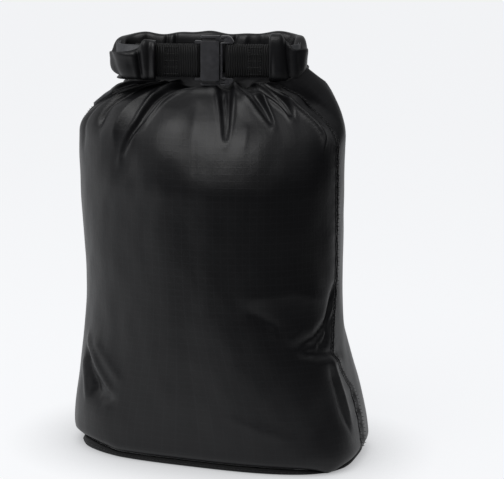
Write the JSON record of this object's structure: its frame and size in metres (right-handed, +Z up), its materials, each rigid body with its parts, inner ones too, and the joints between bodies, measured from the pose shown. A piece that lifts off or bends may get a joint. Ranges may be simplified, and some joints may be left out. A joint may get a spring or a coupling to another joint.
{
  "type": "dry bag",
  "caption": "Soft roll-top dry bag standing stuffed, its mouth rolled down and clipped with a side-release buckle into a carry loop.",
  "frame": {"origin": "middle of the bounding box at the floor the bag stands on", "axes": "+X along the carry loop to the right as seen from the front, -Y to the front where the buckle is, +Z up"},
  "size_m": [0.2353, 0.1626, 0.3263],
  "materials": {
    "coated_cloth": "black ripstop nylon with a softly shining coating",
    "seam_tape": "translucent grey heat-sealed tape",
    "stiffener_strip": "flexible extruded strip",
    "webbing": "black ribbed polyester webbing",
    "thread": "black bonded sewing thread",
    "moulded_buckle": "satin black moulded acetal"
  },
  "bodies": {
    "bag": {"front_panel": "coated_cloth", "back_panel": "coated_cloth", "base_panel": "coated_cloth", "left_seam_tape": "seam_tape", "right_seam_tape": "seam_tape", "base_seam_tape": "seam_tape", "rolled_collar": "coated_cloth", "inner_turn": "coated_cloth", "front_stiffener": "stiffener_strip", "back_stiffener": "stiffener_strip", "left_webbing": "webbing", "left_bar_tack": "thread", "buckle_female": "moulded_buckle"},
    "male_half": {"buckle_male": "moulded_buckle", "right_webbing": "webbing", "right_bar_tack": "thread"},
    "upper_prong_arm": {"upper_prong": "moulded_buckle"},
    "lower_prong_arm": {"lower_prong": "moulded_buckle"}
  },
  "joints": [
    {"name": "buckle_release", "type": "slide", "parent": "bag", "child": "male_half", "axis": [1, 0, 0], "range_m": [0, 0.014]},
    {"name": "upper_prong_squeeze", "type": "hinge", "parent": "male_half", "child": "upper_prong_arm", "pos_m": [0.006, -0.0225, 0.3233], "axis": [0, -1, 0], "range_deg": [0, 12.05]},
    {"name": "lower_prong_squeeze", "type": "hinge", "parent": "male_half", "child": "lower_prong_arm", "pos_m": [0.006, -0.0225, 0.2917], "axis": [0, 1, 0], "range_deg": [0, 12.05]}
  ],
  "couplings": [
    {"joint": "upper_prong_squeeze", "follows": "buckle_release", "rad_per_m": 14.96},
    {"joint": "lower_prong_squeeze", "follows": "buckle_release", "rad_per_m": 14.96}
  ]
}
